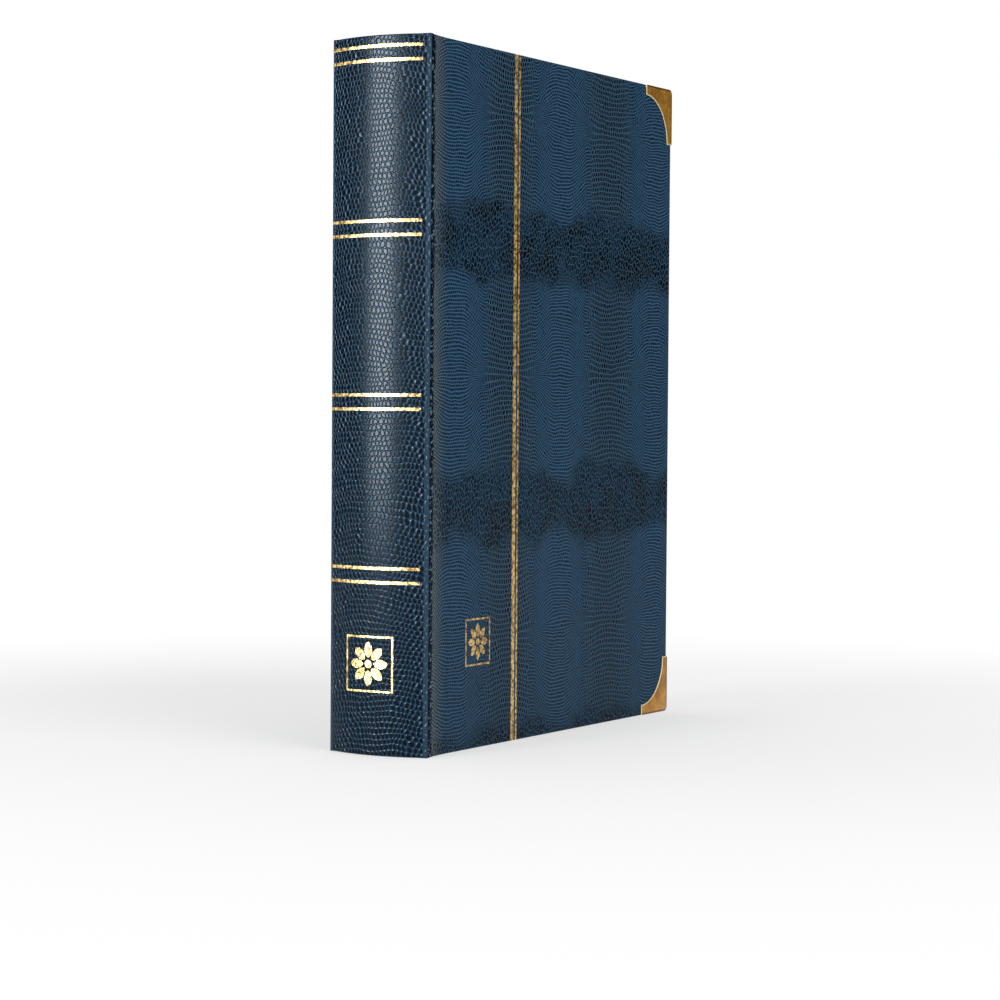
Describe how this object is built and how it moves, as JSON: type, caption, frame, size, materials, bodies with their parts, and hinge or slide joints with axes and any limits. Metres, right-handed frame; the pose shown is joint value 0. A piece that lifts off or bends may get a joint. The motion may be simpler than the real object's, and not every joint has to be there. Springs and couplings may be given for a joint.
{
  "type": "stamp album",
  "caption": "Hardback stockbook album that opens flat: rounded spine, brass corners and card leaves with rows of glassine pocket strips.",
  "frame": {"origin": "on the surface the album stands on, under the middle of its closed bounding box", "axes": "+X from the spine to the fore edge, +Y from the front cover to the back cover, +Z from tail to head"},
  "size_m": [0.2301, 0.05, 0.305],
  "materials": {
    "leatherette": "satin",
    "grey_board": "matte",
    "endpaper": "matte",
    "kraft_paper": "matte",
    "joint_cloth": "matte",
    "brass": "satin",
    "gold_foil": "satin",
    "white_card": "matte",
    "glassine": "satin"
  },
  "bodies": {
    "back_cover": {"back_board": "grey_board", "back_cover_leather": "leatherette", "back_endpaper": "endpaper", "back_joint_cloth": "joint_cloth", "back_top_corner": "brass", "back_bottom_corner": "brass"},
    "spine": {"spine_board": "grey_board", "spine_leather": "leatherette", "spine_lining": "kraft_paper", "spine_gold_tooling": "gold_foil"},
    "front_cover": {"front_board": "grey_board", "front_cover_leather": "leatherette", "front_endpaper": "endpaper", "front_joint_cloth": "joint_cloth", "front_top_corner": "brass", "front_bottom_corner": "brass", "front_gold_tooling": "gold_foil"},
    "leaf_01": {"leaf_01": "white_card"},
    "leaf_02": {"leaf_02": "white_card"},
    "leaf_03": {"leaf_03": "white_card"},
    "leaf_04": {"leaf_04": "white_card"},
    "leaf_05": {"leaf_05": "white_card"},
    "leaf_06": {"leaf_06": "white_card"},
    "leaf_07": {"leaf_07": "white_card"},
    "leaf_08": {"leaf_08": "white_card"},
    "leaf_09": {"leaf_09": "white_card"},
    "leaf_10": {"leaf_10": "white_card"},
    "leaf_11": {"leaf_11": "white_card"},
    "leaf_12": {"leaf_12": "white_card"},
    "leaf_13": {"leaf_13": "white_card"},
    "leaf_14": {"leaf_14": "white_card"},
    "leaf_15": {"leaf_15": "white_card"},
    "leaf_16": {"leaf_16": "white_card"},
    "leaf_17": {"leaf_17": "white_card", "interleaf_lower": "glassine"},
    "leaf_18": {"leaf_18": "white_card"},
    "leaf_19": {"leaf_19": "white_card"},
    "leaf_20": {"leaf_20": "white_card"},
    "leaf_21": {"leaf_21": "white_card"},
    "leaf_22": {"leaf_22": "white_card"},
    "leaf_23": {"leaf_23": "white_card"},
    "leaf_24": {"leaf_24": "white_card"},
    "leaf_25": {"leaf_25": "white_card"},
    "leaf_26": {"leaf_26": "white_card"},
    "leaf_27": {"leaf_27": "white_card"},
    "leaf_28": {"leaf_28": "white_card"},
    "leaf_29": {"leaf_29": "white_card"},
    "leaf_30": {"leaf_30": "white_card"},
    "leaf_31": {"leaf_31": "white_card"},
    "leaf_32": {"leaf_32": "white_card"},
    "interleaf_upper": {"interleaf_upper": "glassine"}
  },
  "joints": [
    {"name": "back_joint", "type": "hinge", "parent": "back_cover", "child": "spine", "pos_m": [-0.109, 0.02505, 0.1525], "axis": [0, 0, -1], "range_deg": [0, 90]},
    {"name": "front_joint", "type": "hinge", "parent": "spine", "child": "front_cover", "pos_m": [-0.109, -0.02505, 0.1525], "axis": [0, 0, -1], "range_deg": [0, 90]},
    {"name": "leaf_01_slide", "type": "slide", "parent": "front_cover", "child": "leaf_01", "axis": [-1, 0, 0], "range_m": [0, 0.000863]},
    {"name": "leaf_02_slide", "type": "slide", "parent": "front_cover", "child": "leaf_02", "axis": [-1, 0, 0], "range_m": [0, 0.00259]},
    {"name": "leaf_03_slide", "type": "slide", "parent": "front_cover", "child": "leaf_03", "axis": [-1, 0, 0], "range_m": [0, 0.00431]},
    {"name": "leaf_04_slide", "type": "slide", "parent": "front_cover", "child": "leaf_04", "axis": [-1, 0, 0], "range_m": [0, 0.00604]},
    {"name": "leaf_05_slide", "type": "slide", "parent": "front_cover", "child": "leaf_05", "axis": [-1, 0, 0], "range_m": [0, 0.00776]},
    {"name": "leaf_06_slide", "type": "slide", "parent": "front_cover", "child": "leaf_06", "axis": [-1, 0, 0], "range_m": [0, 0.00949]},
    {"name": "leaf_07_slide", "type": "slide", "parent": "front_cover", "child": "leaf_07", "axis": [-1, 0, 0], "range_m": [0, 0.01121]},
    {"name": "leaf_08_slide", "type": "slide", "parent": "front_cover", "child": "leaf_08", "axis": [-1, 0, 0], "range_m": [0, 0.01294]},
    {"name": "leaf_09_slide", "type": "slide", "parent": "front_cover", "child": "leaf_09", "axis": [-1, 0, 0], "range_m": [0, 0.01466]},
    {"name": "leaf_10_slide", "type": "slide", "parent": "front_cover", "child": "leaf_10", "axis": [-1, 0, 0], "range_m": [0, 0.01639]},
    {"name": "leaf_11_slide", "type": "slide", "parent": "front_cover", "child": "leaf_11", "axis": [-1, 0, 0], "range_m": [0, 0.01811]},
    {"name": "leaf_12_slide", "type": "slide", "parent": "front_cover", "child": "leaf_12", "axis": [-1, 0, 0], "range_m": [0, 0.01984]},
    {"name": "leaf_13_slide", "type": "slide", "parent": "front_cover", "child": "leaf_13", "axis": [-1, 0, 0], "range_m": [0, 0.02156]},
    {"name": "leaf_14_slide", "type": "slide", "parent": "front_cover", "child": "leaf_14", "axis": [-1, 0, 0], "range_m": [0, 0.02329]},
    {"name": "leaf_15_slide", "type": "slide", "parent": "front_cover", "child": "leaf_15", "axis": [-1, 0, 0], "range_m": [0, 0.02501]},
    {"name": "leaf_16_slide", "type": "slide", "parent": "front_cover", "child": "leaf_16", "axis": [-1, 0, 0], "range_m": [0, 0.02674]},
    {"name": "leaf_17_slide", "type": "slide", "parent": "back_cover", "child": "leaf_17", "axis": [-1, 0, 0], "range_m": [0, 0.02674]},
    {"name": "leaf_18_slide", "type": "slide", "parent": "back_cover", "child": "leaf_18", "axis": [-1, 0, 0], "range_m": [0, 0.02501]},
    {"name": "leaf_19_slide", "type": "slide", "parent": "back_cover", "child": "leaf_19", "axis": [-1, 0, 0], "range_m": [0, 0.02329]},
    {"name": "leaf_20_slide", "type": "slide", "parent": "back_cover", "child": "leaf_20", "axis": [-1, 0, 0], "range_m": [0, 0.02156]},
    {"name": "leaf_21_slide", "type": "slide", "parent": "back_cover", "child": "leaf_21", "axis": [-1, 0, 0], "range_m": [0, 0.01984]},
    {"name": "leaf_22_slide", "type": "slide", "parent": "back_cover", "child": "leaf_22", "axis": [-1, 0, 0], "range_m": [0, 0.01811]},
    {"name": "leaf_23_slide", "type": "slide", "parent": "back_cover", "child": "leaf_23", "axis": [-1, 0, 0], "range_m": [0, 0.01639]},
    {"name": "leaf_24_slide", "type": "slide", "parent": "back_cover", "child": "leaf_24", "axis": [-1, 0, 0], "range_m": [0, 0.01466]},
    {"name": "leaf_25_slide", "type": "slide", "parent": "back_cover", "child": "leaf_25", "axis": [-1, 0, 0], "range_m": [0, 0.01294]},
    {"name": "leaf_26_slide", "type": "slide", "parent": "back_cover", "child": "leaf_26", "axis": [-1, 0, 0], "range_m": [0, 0.01121]},
    {"name": "leaf_27_slide", "type": "slide", "parent": "back_cover", "child": "leaf_27", "axis": [-1, 0, 0], "range_m": [0, 0.00949]},
    {"name": "leaf_28_slide", "type": "slide", "parent": "back_cover", "child": "leaf_28", "axis": [-1, 0, 0], "range_m": [0, 0.00776]},
    {"name": "leaf_29_slide", "type": "slide", "parent": "back_cover", "child": "leaf_29", "axis": [-1, 0, 0], "range_m": [0, 0.00604]},
    {"name": "leaf_30_slide", "type": "slide", "parent": "back_cover", "child": "leaf_30", "axis": [-1, 0, 0], "range_m": [0, 0.00431]},
    {"name": "leaf_31_slide", "type": "slide", "parent": "back_cover", "child": "leaf_31", "axis": [-1, 0, 0], "range_m": [0, 0.00259]},
    {"name": "leaf_32_slide", "type": "slide", "parent": "back_cover", "child": "leaf_32", "axis": [-1, 0, 0], "range_m": [0, 0.000863]},
    {"name": "interleaf_turn", "type": "hinge", "parent": "leaf_17", "child": "interleaf_upper", "pos_m": [-0.09742, 0, 0.1525], "axis": [0, 0, -1], "range_deg": [0, 54]}
  ],
  "couplings": [
    {"joint": "front_joint", "follows": "back_joint", "ratio": 1},
    {"joint": "leaf_01_slide", "follows": "back_joint", "m_per_rad": 0.000549},
    {"joint": "leaf_02_slide", "follows": "back_joint", "m_per_rad": 0.0016472},
    {"joint": "leaf_03_slide", "follows": "back_joint", "m_per_rad": 0.0027454},
    {"joint": "leaf_04_slide", "follows": "back_joint", "m_per_rad": 0.0038435},
    {"joint": "leaf_05_slide", "follows": "back_joint", "m_per_rad": 0.0049417},
    {"joint": "leaf_06_slide", "follows": "back_joint", "m_per_rad": 0.0060399},
    {"joint": "leaf_07_slide", "follows": "back_joint", "m_per_rad": 0.007138},
    {"joint": "leaf_08_slide", "follows": "back_joint", "m_per_rad": 0.0082362},
    {"joint": "leaf_09_slide", "follows": "back_joint", "m_per_rad": 0.0093344},
    {"joint": "leaf_10_slide", "follows": "back_joint", "m_per_rad": 0.010433},
    {"joint": "leaf_11_slide", "follows": "back_joint", "m_per_rad": 0.011531},
    {"joint": "leaf_12_slide", "follows": "back_joint", "m_per_rad": 0.012629},
    {"joint": "leaf_13_slide", "follows": "back_joint", "m_per_rad": 0.013727},
    {"joint": "leaf_14_slide", "follows": "back_joint", "m_per_rad": 0.014825},
    {"joint": "leaf_15_slide", "follows": "back_joint", "m_per_rad": 0.015923},
    {"joint": "leaf_16_slide", "follows": "back_joint", "m_per_rad": 0.017022},
    {"joint": "leaf_17_slide", "follows": "back_joint", "m_per_rad": 0.017022},
    {"joint": "leaf_18_slide", "follows": "back_joint", "m_per_rad": 0.015923},
    {"joint": "leaf_19_slide", "follows": "back_joint", "m_per_rad": 0.014825},
    {"joint": "leaf_20_slide", "follows": "back_joint", "m_per_rad": 0.013727},
    {"joint": "leaf_21_slide", "follows": "back_joint", "m_per_rad": 0.012629},
    {"joint": "leaf_22_slide", "follows": "back_joint", "m_per_rad": 0.011531},
    {"joint": "leaf_23_slide", "follows": "back_joint", "m_per_rad": 0.010433},
    {"joint": "leaf_24_slide", "follows": "back_joint", "m_per_rad": 0.0093344},
    {"joint": "leaf_25_slide", "follows": "back_joint", "m_per_rad": 0.0082362},
    {"joint": "leaf_26_slide", "follows": "back_joint", "m_per_rad": 0.007138},
    {"joint": "leaf_27_slide", "follows": "back_joint", "m_per_rad": 0.0060399},
    {"joint": "leaf_28_slide", "follows": "back_joint", "m_per_rad": 0.0049417},
    {"joint": "leaf_29_slide", "follows": "back_joint", "m_per_rad": 0.0038435},
    {"joint": "leaf_30_slide", "follows": "back_joint", "m_per_rad": 0.0027454},
    {"joint": "leaf_31_slide", "follows": "back_joint", "m_per_rad": 0.0016472},
    {"joint": "leaf_32_slide", "follows": "back_joint", "m_per_rad": 0.000549},
    {"joint": "interleaf_turn", "follows": "back_joint", "ratio": 0.6}
  ]
}
